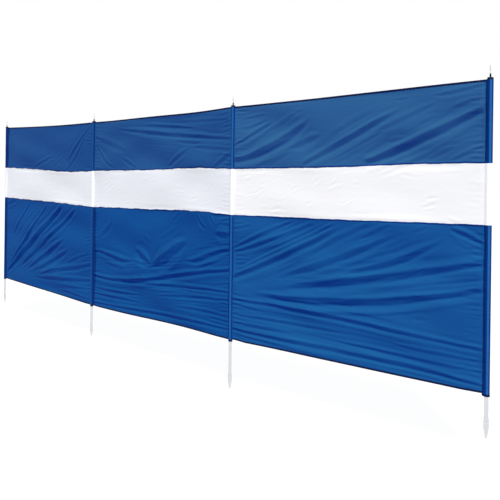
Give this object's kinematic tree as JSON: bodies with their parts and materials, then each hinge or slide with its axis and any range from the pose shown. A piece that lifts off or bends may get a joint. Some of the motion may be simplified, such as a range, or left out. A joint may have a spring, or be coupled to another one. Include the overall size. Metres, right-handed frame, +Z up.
{
  "type": "beach windbreak",
  "caption": "Long low screen of blue cloth bays with a white window band, sewn into sleeves on upright steel poles with pointed feet and rope pins on top.",
  "frame": {"origin": "centre of the flat end of the first pole's spike", "axes": "+X along the run toward the last pole, the front toward -Y, +Z up"},
  "size_m": [5.033, 0.103, 1.7695],
  "materials": {
    "blue_cloth": "woven polyester, slight sheen",
    "hem_cloth": "folded and stitched",
    "blue_sleeve": "woven polyester, stitched",
    "white_cloth": "thin woven polyester, lets light through",
    "white_sleeve": "woven polyester, stitched",
    "pole_steel": "zinc plated tube",
    "pin_steel": "bright zinc plated",
    "cap_plastic": "moulded, satin"
  },
  "bodies": {
    "root": {"bottom_hem_1": "hem_cloth", "lower_panel_1": "blue_cloth", "window_panel_1": "white_cloth", "upper_panel_1": "blue_cloth", "top_hem_1": "hem_cloth", "bottom_hem_2": "hem_cloth", "lower_panel_2": "blue_cloth", "window_panel_2": "white_cloth", "upper_panel_2": "blue_cloth", "top_hem_2": "hem_cloth", "bottom_hem_3": "hem_cloth", "lower_panel_3": "blue_cloth", "window_panel_3": "white_cloth", "upper_panel_3": "blue_cloth", "top_hem_3": "hem_cloth", "lower_sleeve_1": "blue_sleeve", "window_sleeve_1": "white_sleeve", "upper_sleeve_1": "blue_sleeve", "pole_1": "pole_steel", "pole_cap_1": "cap_plastic", "top_pin_1": "pin_steel", "lower_sleeve_2": "blue_sleeve", "window_sleeve_2": "white_sleeve", "upper_sleeve_2": "blue_sleeve", "pole_2": "pole_steel", "pole_cap_2": "cap_plastic", "top_pin_2": "pin_steel", "lower_sleeve_3": "blue_sleeve", "window_sleeve_3": "white_sleeve", "upper_sleeve_3": "blue_sleeve", "pole_3": "pole_steel", "pole_cap_3": "cap_plastic", "top_pin_3": "pin_steel", "lower_sleeve_4": "blue_sleeve", "window_sleeve_4": "white_sleeve", "upper_sleeve_4": "blue_sleeve", "pole_4": "pole_steel", "pole_cap_4": "cap_plastic", "top_pin_4": "pin_steel"}
  },
  "joints": []
}
